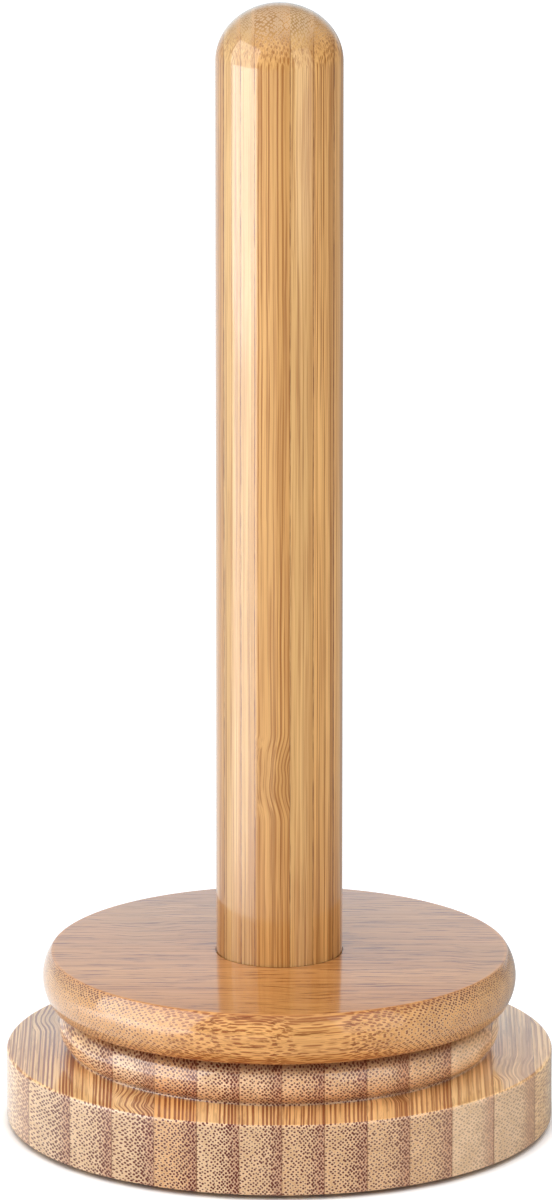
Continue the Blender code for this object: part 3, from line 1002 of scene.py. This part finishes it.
@dataclass
class Bearing:
    """The ring bearing between the base and the disc."""

    ball_count: int = 16
    ball_radius: float = 2.0 * MM
    circle: float = 34.0 * MM
    groove: float = 2.3 * MM
    chamfer: float = 0.3 * MM
    screw_count: int = 4
    screw_head: float = 2.8 * MM
    screw_shank: float = 1.2 * MM
    screw_hole: float = 1.8 * MM
    thread_reach: float = 0.3 * MM
    pitch: float = 1.25 * MM
    metal: TurnedMetal = TurnedMetal("turned_aluminium", (0.80, 0.81, 0.82), 0.28, 9.0)
    zinc: TurnedMetal = TurnedMetal("zinc_plated_steel", (0.66, 0.67, 0.70), 0.22)
    polish: TurnedMetal = TurnedMetal(
        "polished_ball_steel", (0.72, 0.72, 0.73), 0.07, 0.0, 0.002 * MM
    )
    nylon: Moulded = Moulded(
        "natural_nylon", (0.80, 0.78, 0.70), (0.74, 0.71, 0.62), 0.42, 3.0, 0.01 * MM
    )

    def build(self, shop: Workshop) -> None:
        """Make the races, the balls, the cage and the race screws."""
        self.plane = (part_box("ball_01")[0].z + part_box("ball_01")[1].z) / 2
        aluminium = self.metal.material()
        steel = self.zinc.material()
        self._race(shop, "outer_race", "stand", aluminium, steel)
        self._race(shop, "inner_race", "turntable", aluminium, steel)
        self._balls(shop)
        self._cage(shop)

    def screw_places(self, race: str) -> dict[str, float]:
        """The ring that a race's screws stand on, as a ring tree's inputs."""
        low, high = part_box(race + "_screw_1")
        circle = Vector(((low.x + high.x) / 2, (low.y + high.y) / 2)).length
        first = 0.0 if race == "outer_race" else pi / self.screw_count
        return {"count": self.screw_count, "circle": circle, "first_turn": first}

    def _race(
        self, shop: Workshop, race: str, body: str, aluminium: Material, steel: Material
    ) -> None:
        """Make one race and its screws.

        Args:
            shop: The workshop.
            race: The race's node.
            body: The body that it moves with.
            aluminium: The race's finish.
            steel: The screws' finish.
        """
        low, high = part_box(race)
        outer = race == "outer_race"
        split = self.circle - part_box("inner_race")[1].x
        wall = self.circle + split
        far = high.x if outer else 2 * self.circle - self._inside()
        lip = asin(sqrt(self.groove**2 - split**2) / self.groove)
        groove = arc((self.circle, self.plane), self.groove, -lip, lip, 20)
        points = washer(far, wall, low.z, high.z, self.chamfer)
        points[6:6] = groove
        if not outer:
            # The inner race is the same section seen in a mirror at the ball circle
            points = [(2 * self.circle - r, z) for r, z in points]
        ring = shop.turn(race + "_ring", points, aluminium, segments=160, loop=True)
        places = {
            **self.screw_places(race),
            "height": high.z if outer else low.z,
            "tilt": 0.0 if outer else pi,
        }
        hole = {"radius": self.screw_hole, "depth": THROUGH, "rise": RISE}
        mouth = self.screw_head + CLEARANCE
        shop.apply(ring, "drilled", aluminium, **places, **hole, mouth=mouth)
        shop.hand_over(ring, body, [race])
        self._screws(shop, race, body, steel, places)

    def _inside(self) -> float:
        """The inner race's inside radius, from its node's innermost points."""
        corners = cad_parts["inner_race"].data.vertices
        return min(Vector((corner.co.x, corner.co.y)).length for corner in corners)

    def _screws(
        self, shop: Workshop, race: str, body: str, steel: Material, places: dict[str, float]
    ) -> None:
        """Make the countersunk screws of one race.

        Args:
            shop: The workshop.
            race: The race's node.
            body: The body that they move with.
            steel: Their finish.
            places: Where they stand, as a ring tree's inputs.
        """
        low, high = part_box(race + "_screw_1")
        length = high.z - low.z
        shank = self.screw_shank
        neck = self.screw_head - shank
        points = [
            (0.0, 0.0),
            (self.screw_head - 0.15 * MM, 0.0),
            (self.screw_head, -0.15 * MM),
            (shank + 0.3 * MM, 0.1 * MM - neck),
            (shank, -neck - 0.5 * MM),
            (shank, 2.2 * MM - length),
            (0.0, -length),
        ]
        screws = shop.turn(race + "_screws", points, steel, segments=32)
        shop.apply(
            screws,
            "threaded",
            steel,
            turns=5.5,
            pitch=self.pitch,
            shank=shank,
            ridge=self.thread_reach,
            start=-neck - MM,
            cross_width=0.8 * MM,
            cross_length=3.2 * MM,
            cross_depth=2.2 * MM,
            cross_height=0.0,
        )
        shop.apply(screws, "ring", steel, **places)
        shop.hand_over(screws, body, numbered(race + "_screw", self.screw_count))

    def ball_places(self) -> dict[str, float]:
        """The ring that the balls stand on, as a ring tree's inputs."""
        return {"count": self.ball_count, "circle": self.circle, "height": self.plane}

    def _balls(self, shop: Workshop) -> None:
        """Make the balls."""
        steel = self.polish.material()
        section = arc((0.0, 0.0), self.ball_radius, pi / 2, -pi / 2, 14)
        balls = shop.turn("bearing_balls", section, steel, segments=28)
        shop.apply(balls, "ring", steel, **self.ball_places())
        shop.hand_over(balls, "ball_train", numbered("ball", self.ball_count, 2))

    def _cage(self, shop: Workshop) -> None:
        """Make the cage, with a pocket for each ball."""
        nylon = self.nylon.material()
        low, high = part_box("ball_cage")
        points = washer(high.x, 2 * self.circle - high.x, low.z, high.z, 0.15 * MM)
        cage = shop.turn("nylon_cage", points, nylon, segments=192, loop=True)
        pocket = {"tilt": pi / 2, "radius": self.groove, "depth": 4 * MM, "rise": 2 * MM}
        shop.apply(cage, "drilled", nylon, **self.ball_places(), **pocket)
        shop.hand_over(cage, "ball_train", ["ball_cage"])


@dataclass
class Base:
    """The turned base: a wide foot with a half-round bead, bored for the bearing and pads."""

    wall: float = 20 * MM
    bead_radius: float = 60.5 * MM
    bead_height: float = 12 * MM
    pocket_depth: float = 4 * MM
    top_arris: float = 0.8 * MM
    bottom_arris: float = 1.0 * MM
    cove: float = 0.5 * MM
    strip: float = 11.5 * MM
    first_edge: float = 0.7 * MM
    driver_hole: float = 4.5 * MM

    def build(self, shop: Workshop, pads: Pads, bearing: Bearing) -> None:
        """Make the base.

        Args:
            shop: The workshop.
            pads: The pads that it takes.
            bearing: The bearing that it takes.
        """
        low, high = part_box("base")
        self.radius, self.bottom, self.top = high.x, low.z, high.z
        wood = self.finish().material()
        base = shop.turn("turned_base", self.section(), wood, segments=288)
        pad_low, pad_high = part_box("pad_1")
        recess = {
            **pads.places(),
            "tilt": pi,
            "height": self.bottom,
            "radius": (pad_high.x - pad_low.x) / 2 + CLEARANCE,
            "depth": pad_high.z + CLEARANCE - self.bottom + RISE,
        }
        floor = self.top - self.pocket_depth
        pilot = {
            **bearing.screw_places("outer_race"),
            "height": floor,
            "radius": bearing.screw_hole,
            "depth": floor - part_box("outer_race_screw_1")[0].z + CLEARANCE + RISE,
        }
        driver = {
            **bearing.screw_places("inner_race"),
            "count": DRIVER_HOLES,
            "height": self.top,
            "radius": self.driver_hole,
            "depth": self.top,
        }
        for hole in (recess, pilot, driver):
            shop.apply(base, "drilled", wood, **hole, rise=RISE)
        shop.hand_over(base, "stand", ["base"])

    def section(self) -> list[Point]:
        """The base's section, with its bead, its ledge and the bearing's pocket."""
        bead = self.bead_height / 2
        ledge = self.bottom + self.wall
        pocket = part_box("outer_race")[1].x + CLEARANCE
        floor = self.top - self.pocket_depth
        foot = self.bead_radius - bead
        # The cove is a small arc that rolls between the ledge and the underside of the bead
        lean = asin((bead - self.cove) / (bead + self.cove))
        corner = foot + (bead + self.cove) * cos(lean)
        soft, edge, foot_edge = 0.4 * MM, self.top_arris, self.bottom_arris
        return [
            (0.0, floor),
            (pocket, floor),
            (pocket, self.top - soft),
            (pocket + soft, self.top),
            *arc((foot, ledge + bead), bead, pi / 2, -lean, 30),
            *arc((corner, ledge + self.cove), self.cove, pi - lean, 3 * pi / 2, 5),
            *arc((self.radius - edge, ledge - edge), edge, pi / 2, 0.0, 6),
            *arc((self.radius - foot_edge, self.bottom + foot_edge), foot_edge, 0.0, -pi / 2, 6),
            (0.0, self.bottom),
        ]

    def finish(self) -> Bamboo:
        """The base's wood: fibres front to back, strips standing side by side."""
        strips = (
            # The first four strips, on the left, are paler and cooler, partly their own tone and
            # partly a painted sheen from the key light on the left
            Strip(0.80, 0.14, 0.80, 0.90),
            Strip(0.75, 0.15, 0.95, 0.66),
            Strip(0.72, 0.18, 0.95, 0.85),
            Strip(0.66, 0.20, 1.00, 0.14),
            Strip(0.28, 0.85, 1.00, 0.62),
            Strip(0.60, 0.30, 1.00, 0.70),
            Strip(0.55, 0.36, 0.95, 0.75),
            Strip(0.40, 0.52, 0.95, 0.40),
            Strip(0.35, 0.56, 0.95, 0.95),
            Strip(0.35, 0.56, 0.85, 0.22),
            Strip(0.42, 0.52, 0.75, 0.55),
            Strip(0.80, 0.22, 0.40, 0.80),
            Strip(0.74, 0.25, 0.42, 0.35),
            Strip(0.68, 0.28, 0.50, 0.70),
        )
        half = len(strips) // 2
        edges = tuple(
            self.first_edge + self.strip * (number - half) for number in range(len(strips) + 1)
        )
        ledge = self.bottom + self.wall
        top_cut, foot_cut = 0.3 * self.top_arris, 0.3 * self.bottom_arris
        rings = (
            Ring(self.radius - top_cut, ledge - top_cut, 0.9 * MM, 0.3),
            Ring(self.radius - foot_cut, self.bottom + foot_cut, 0.9 * MM, 0.3),
            # Painted shade in the crease where the bead meets the ledge
            Ring(self.bead_radius - self.bead_height / 2, ledge, 1.3 * MM, -0.3),
            # Painted highlight and painted light on the bead's middle, which the disc's overhang
            # shades
            Ring(self.bead_radius - 1.0 * MM, ledge + 0.45 * self.bead_height, 6.0 * MM, 0.45),
            # Painted shade on the bead's top, under the disc's overhang
            Ring(self.bead_radius - 3.0 * MM, ledge + self.bead_height, 4.2 * MM, -0.45),
        )
        return Bamboo(
            name="bamboo_base",
            fibre=Axis.Y,
            layup=Axis.X,
            depth=Axis.Z,
            edges=edges,
            strips=strips,
            grading=Grading.ACROSS_STRIP,
            reach=self.radius,
            rings=rings,
            long_contrast=0.9,
            face_contrast=0.9,
            long_crowd=0.3,
            bundle_long=(0.24, 0.045, 0.006),
            fullness=0.055,
            spacing=0.86 * MM,
            long_grain=(0.97, 0.60, 0.26),
            end_grain=(0.70, 0.45, 0.25),
        )


@dataclass
class Disc:
    """The turning disc, with its bulging edge."""

    edge_radius: float = 11.6 * MM
    arris: float = 0.7 * MM
    pocket_play: float = 1.0 * MM
    seat: float = 0.6 * MM
    strip: float = 20 * MM
    first_edge: float = 5.1 * MM

    def build(self, shop: Workshop, bearing: Bearing) -> None:
        """Make the disc.

        Args:
            shop: The workshop.
            bearing: The bearing that carries it.
        """
        low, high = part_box("disc")
        self.radius, self.bottom, self.top = high.x, low.z, high.z
        self.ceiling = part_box("inner_race")[1].z + CLEARANCE
        wood = self.finish().material()
        disc = shop.turn("turned_disc", self.section(), wood, segments=288, loop=True)
        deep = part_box("inner_race_screw_1")[1].z + CLEARANCE - self.ceiling
        places = {**bearing.screw_places("inner_race"), "height": self.ceiling, "tilt": pi}
        hole = {"radius": bearing.screw_hole, "depth": deep + RISE, "rise": RISE}
        shop.apply(disc, "drilled", wood, **places, **hole)
        shop.hand_over(disc, "turntable", ["disc"])

    def section(self) -> list[Point]:
        """The disc's section: bulging edge, bearing pocket, mortise and the post's seat."""
        half = (self.top - self.bottom) / 2
        lean = asin((half - self.arris) / (self.edge_radius - self.arris))
        centre = (self.radius - self.edge_radius, self.bottom + half)
        corner = centre[0] + (self.edge_radius - self.arris) * cos(lean)
        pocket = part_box("outer_race")[1].x + self.pocket_play
        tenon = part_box("post_washer")[1].x - TENON_INSET + CLEARANCE
        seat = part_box("post")[1].x + CLEARANCE
        return [
            *arc((corner, self.top - self.arris), self.arris, pi / 2, lean, 5),
            *arc(centre, self.edge_radius, lean, -lean, 24)[1:-1],
            *arc((corner, self.bottom + self.arris), self.arris, -lean, -pi / 2, 5),
            (pocket, self.bottom),
            (pocket, self.ceiling),
            (tenon, self.ceiling),
            (tenon, self.top - self.seat),
            (seat, self.top - self.seat),
            (seat, self.top),
        ]

    def finish(self) -> Bamboo:
        """The disc's wood: fibres left to right, in two boards pressed flat together."""
        strips = (
            Strip(0.45, 0.60, 0.90, 0.55),
            Strip(0.55, 0.48, 0.80, 0.95),
            Strip(0.52, 0.52, 0.85, 0.22),
            Strip(0.60, 0.45, 0.80, 0.19),
            Strip(0.48, 0.55, 0.85, 0.12),
            Strip(0.55, 0.50, 0.80, 0.60),
            Strip(0.50, 0.50, 0.80, 0.40),
        )
        half = len(strips) // 2
        edges = tuple(
            self.first_edge + self.strip * (number + skip - half)
            for number, skip in enumerate((-2, 0, 1, 1, 1, 1, 1, 2))
        )
        return Bamboo(
            name="bamboo_disc",
            fibre=Axis.X,
            layup=Axis.Y,
            depth=Axis.Z,
            edges=edges,
            strips=strips,
            grading=Grading.OUT_OF_BOARD,
            middle=(self.top + self.bottom) / 2,
            half=(self.top - self.bottom) / 2,
            reach=self.radius,
            rings=(Ring(self.radius - 2.6 * MM, self.top, 0.9 * MM, 0.25),),
            long_contrast=0.85,
            face_contrast=0.3,
            spacing=0.78 * MM,
            glue=0.4,
            dashes=0.95,
            end_reach=0.45,
            long_grain=(0.80, 0.44, 0.16),
            end_grain=(0.68, 0.38, 0.16),
            halo=(0.90, 0.64, 0.40),
            crowded=(0.54, 0.22, 0.055),
        )


@dataclass
class Post:
    """The post with its domed top, and the screw and washer that hold it."""

    dome: float = 15.7 * MM
    foot_arris: float = 0.25 * MM
    screw_bore: float = 2.8 * MM
    screw_shank: float = 2.0 * MM
    screw_head: float = 4.75 * MM
    screw_head_height: float = 3.0 * MM

    def build(self, shop: Workshop, steel: Material) -> None:
        """Make the post, its screw and its washer.

        Args:
            shop: The workshop.
            steel: The finish of the screw and the washer.
        """
        low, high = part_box("post")
        self.radius, self.tenon_end, self.top = high.x, low.z, high.z
        self.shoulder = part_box("disc")[1].z - CLEARANCE
        wood = self.finish().material()
        post = shop.turn("turned_post", self.section(), wood, segments=192)
        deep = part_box("post_screw")[1].z + CLEARANCE - self.tenon_end
        bore = {"radius": self.screw_bore, "depth": deep + RISE, "rise": RISE}
        shop.apply(post, "drilled", wood, height=self.tenon_end, tilt=pi, **bore)
        shop.hand_over(post, "turntable", ["post"])
        self._screw(shop, steel)
        self._washer(shop, steel)

    def section(self) -> list[Point]:
        """The post's section: dome, shaft, shoulder and tenon."""
        spring = self.top - self.dome
        turns = [pi / 2 * (1 - step / 26) for step in range(27)]
        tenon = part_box("post_washer")[1].x - TENON_INSET
        return [
            (0.0, self.top),
            *[(self.radius * cos(turn), spring + self.dome * sin(turn)) for turn in turns[1:]],
            (self.radius, self.shoulder + self.foot_arris),
            (self.radius - self.foot_arris, self.shoulder),
            (tenon, self.shoulder),
            (tenon, self.tenon_end),
            (0.0, self.tenon_end),
        ]

    def finish(self) -> Bamboo:
        """The post's wood: fibres upright, strips of unlike width side by side."""
        widths = (-30.0, -15.0, -10.4, -6.7, 2.9, 9.2, 14.7, 30.0)
        strips = (
            Strip(0.62, 0.30, 0.70, 0.0),
            Strip(0.72, 0.16, 0.60, 0.0),
            Strip(0.66, 0.20, 0.50, 0.0),
            Strip(0.55, 0.66, 0.75, 0.755),
            Strip(0.62, 0.36, 0.25, 0.0),
            # The last two strips, on the right, are brightened as painted light on the post's
            # dimmer right side
            Strip(0.85, 0.80, 1.00, 0.0),
            Strip(0.80, 0.85, 1.00, 0.0),
        )
        return Bamboo(
            name="bamboo_post",
            fibre=Axis.Z,
            layup=Axis.X,
            depth=Axis.Y,
            edges=tuple(width * MM for width in widths),
            strips=strips,
            grading=Grading.ACROSS_STRIP,
            reach=200 * MM,
            long_contrast=0.9,
            face_contrast=0.9,
            end_contrast=0.45,
            end_reach=0.7,
            fullness=-0.06,
            spacing=0.82 * MM,
            dashes=0.5,
            dash_waves=(1.2, 0.006),
            glue=1.0,
            end_glue=0.0,
            long_grain=(0.69, 0.41, 0.155),
            end_grain=(0.41, 0.23, 0.08),
            bundle_end=(0.30, 0.12, 0.035),
            bundle_long=(0.30, 0.10, 0.014),
            crowded=(0.56, 0.28, 0.08),
        )

    def _screw(self, shop: Workshop, steel: Material) -> None:
        """Make the pan-headed screw that pulls the tenon down."""
        low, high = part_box("post_screw")
        seat = low.z + self.screw_head_height
        crown = self.screw_head_height / 2
        shank = self.screw_shank
        points = [
            (0.0, high.z),
            (shank, high.z - 3 * MM),
            (shank, seat),
            (self.screw_head - 0.15 * MM, seat),
            (self.screw_head, seat - 0.15 * MM),
            *arc((self.screw_head - crown, low.z + crown), crown, 0.0, -pi / 2, 8),
            (0.0, low.z),
        ]
        screw = shop.turn("pan_head_screw", points, steel, segments=40)
        shop.apply(
            screw,
            "threaded",
            steel,
            turns=13.0,
            pitch=2.2 * MM,
            shank=shank,
            ridge=0.55 * MM,
            start=high.z - 4 * MM,
            cross_width=1.2 * MM,
            cross_length=5.0 * MM,
            cross_depth=3.6 * MM,
            cross_height=low.z,
        )
        shop.hand_over(screw, "turntable", ["post_screw"])

    def _washer(self, shop: Workshop, steel: Material) -> None:
        """Make the washer, stamped with rounded edges."""
        low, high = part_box("post_washer")
        points = washer(high.x, self.screw_bore, low.z, high.z, 0.25 * MM)
        stamped = shop.turn("stamped_washer", points, steel, segments=96, loop=True)
        shop.hand_over(stamped, "turntable", ["post_washer"])


# --------------------------------------------------------------------- stage


@dataclass(frozen=True)
class Softbox:
    """A large soft light, given by how bright its face looks.

    It aims at a height on the post's axis. It either lights surfaces or is mirrored in them.
    """

    name: str
    place: tuple[float, float, float]
    aim: float
    width: float
    height: float
    radiance: float
    lights: bool

    def build(self) -> None:
        """Hang the light."""
        light = bpy.data.lights.new(self.name, "AREA")
        light.shape = "RECTANGLE"
        light.size = self.width
        light.size_y = self.height
        light.energy = self.radiance * pi * self.width * self.height
        lamp = bpy.data.objects.new(self.name, light)
        lamp.location = self.place
        way = Vector((0.0, 0.0, self.aim)) - Vector(self.place)
        lamp.rotation_euler = way.to_track_quat("-Z", "Y").to_euler()
        lamp.visible_camera = False
        lamp.visible_diffuse = self.lights
        lamp.visible_glossy = not self.lights
        bpy.context.scene.collection.objects.link(lamp)


@dataclass
class Studio:
    """Pale floor, soft surroundings, softboxes and the camera."""

    pitch: float = radians(14.555)
    distance: float = 2.893
    aim: tuple[float, float, float] = (-0.0009, 0.0, 0.1475)
    lens: float = 318.7
    floor_radius: float = 6.0
    foot: float = 75 * MM
    floor_glow: float = 0.45
    far_glow: float = 0.12
    left_glow: float = 4.8
    left_haze: float = 0.7
    front: float = 0.2
    left: float = 0.5
    back: float = 0.72
    above: float = 0.4

    def build(self) -> None:
        """Set everything that isn't the object."""
        self._floor()
        self._surroundings()
        self._lights()
        self._camera()

    def _floor(self) -> None:
        """A wide pale floor."""
        bpy.ops.mesh.primitive_circle_add(vertices=128, radius=self.floor_radius, fill_type="NGON")
        floor = bpy.context.object
        floor.name = "floor"
        graph = ShaderGraph("pale_floor")
        place = graph.separate(graph.place.outputs["Object"])
        out = graph.length(graph.place.outputs["Object"])
        # The lacquer sees a dark floor, but for a haze and a bright stretch on the left that
        # carry the key light's reflection down to the foot. Diffuse rays see a duller floor
        # than the camera does.
        rays = graph.add("ShaderNodeLightPath").outputs
        mirrored, lit = rays["Is Glossy Ray"], rays["Is Diffuse Ray"]
        plain = graph.plus(self.floor_glow, graph.ramp(out, 0.3, 2.0, (0.0, self.far_glow)))
        plain = graph.times(plain, graph.minus(1.0, mirrored))
        plain = graph.times(plain, graph.minus(1.0, graph.times(lit, 0.7)))
        side = graph.plus(graph.times(place["X"], -0.78), graph.times(place["Y"], 0.62))
        stretch = graph.ramp(side, 0.0, 0.04)
        stretch = graph.times(stretch, graph.ramp(place["Y"], -0.08, 0.12, (1.0, 0.0)))
        stretch = graph.times(stretch, graph.ramp(out, 0.1, 0.34))
        bright = graph.times(graph.ramp(place["X"], -0.02, -0.1), self.left_haze)
        bright = graph.plus(bright, graph.times(stretch, self.left_glow))
        bright = graph.times(bright, mirrored)
        # The floor under the base and just round it doesn't glow, a painted contact shadow: a dark
        # line is left where the base meets it
        under = graph.ramp(out, self.foot - 2 * MM, self.foot + 3 * MM)
        glow = graph.times(graph.plus(plain, bright), under)
        material = graph.finish(
            {
                "Base Color": graph.mix(mirrored, (0.84, 0.84, 0.84), (0.42, 0.42, 0.42)),
                "Roughness": 0.9,
                "Specular IOR Level": 0.1,
                "Emission Color": (1.0, 1.0, 1.0),
                "Emission Strength": glow,
            }
        )
        floor.data.materials.append(material)

    def _surroundings(self) -> None:
        """A pale room: cool and bright behind, lit on the left, dim on the right."""
        world = bpy.data.worlds.new("surroundings")
        world.use_nodes = True
        graph = Graph(world.node_tree)
        way = graph.separate(graph.add("ShaderNodeTexCoord").outputs["Generated"])
        left = graph.ramp(way["X"], 0.3, -1.0, (0.0, self.left))
        back = graph.ramp(way["Y"], 0.72, 0.95, (0.0, self.back))
        back = graph.times(back, graph.ramp(way["Z"], 0.3, 0.5, (1.0, 0.0)))
        above = graph.ramp(way["Z"], 0.25, 1.0, (0.0, self.above))
        total = self.front
        for part in (left, back, above):
            total = graph.plus(total, part)
        cool = graph.over(back, total)
        colour = graph.add("ShaderNodeMix", data_type="RGBA")
        for key, value in ((0, cool), (6, (1.0, 1.0, 1.0)), (7, (0.72, 0.94, 1.1))):
            graph.feed(colour.inputs[key], value)
        background = world.node_tree.nodes["Background"]
        graph.feed(background.inputs["Color"], colour.outputs[2])
        graph.feed(background.inputs["Strength"], total)
        bpy.context.scene.world = world

    def _lights(self) -> None:
        """A low key light on the left, weak fills on the right and broad lights above.

        The key and the fill are each two lights: one that lights and one that is mirrored.
        """
        lit = (
            ("key", (-0.80, -0.37, 0.31), 0.2, 0.72, 0.6, 1.15),
            ("fill", (0.75, -1.35, 0.5), 0.15, 0.35, 0.9, 1.5),
            ("right", (1.3, -0.6, 0.45), 0.15, 1.0, 0.8, 0.6),
            ("front_top", (0.0, -1.4, 1.3), 0.05, 1.6, 1.0, 2.0),
            ("overhead", (0.0, -0.4, 1.9), 0.05, 1.6, 1.2, 1.7),
        )
        mirrored = (
            ("key_gloss", (-0.80, -0.31, 0.46), 0.3, 0.95, 0.9, 3.8),
            ("fill_gloss", (0.72, -0.72, 0.5), 0.3, 0.62, 0.96, 1.6),
        )
        for rows, lights in ((lit, True), (mirrored, False)):
            for row in rows:
                Softbox(*row, lights=lights).build()

    def _camera(self) -> None:
        """A long lens looking down a little."""
        camera = bpy.data.cameras.new("camera")
        camera.lens = self.lens
        camera.clip_end = 50.0
        stand = bpy.data.objects.new("camera", camera)
        back = Vector((0.0, -cos(self.pitch), sin(self.pitch)))
        stand.location = Vector(self.aim) + self.distance * back
        stand.rotation_euler = (pi / 2 - self.pitch, 0.0, 0.0)
        bpy.context.scene.collection.objects.link(stand)
        bpy.context.scene.camera = stand
        bpy.context.scene.view_settings.view_transform = "Standard"


def main() -> None:
    """Build the sub-assemblies, dress them and set the stage."""
    logging.basicConfig(level=logging.INFO, format="%(name)s: %(message)s")
    shop = Workshop()
    pads = Pads()
    bearing = Bearing()
    pads.build(shop)
    bearing.build(shop)
    Base().build(shop, pads, bearing)
    Disc().build(shop, bearing)
    Post().build(shop, bearing.zinc.material())
    Studio().build()


if __name__ == "__main__":
    main()
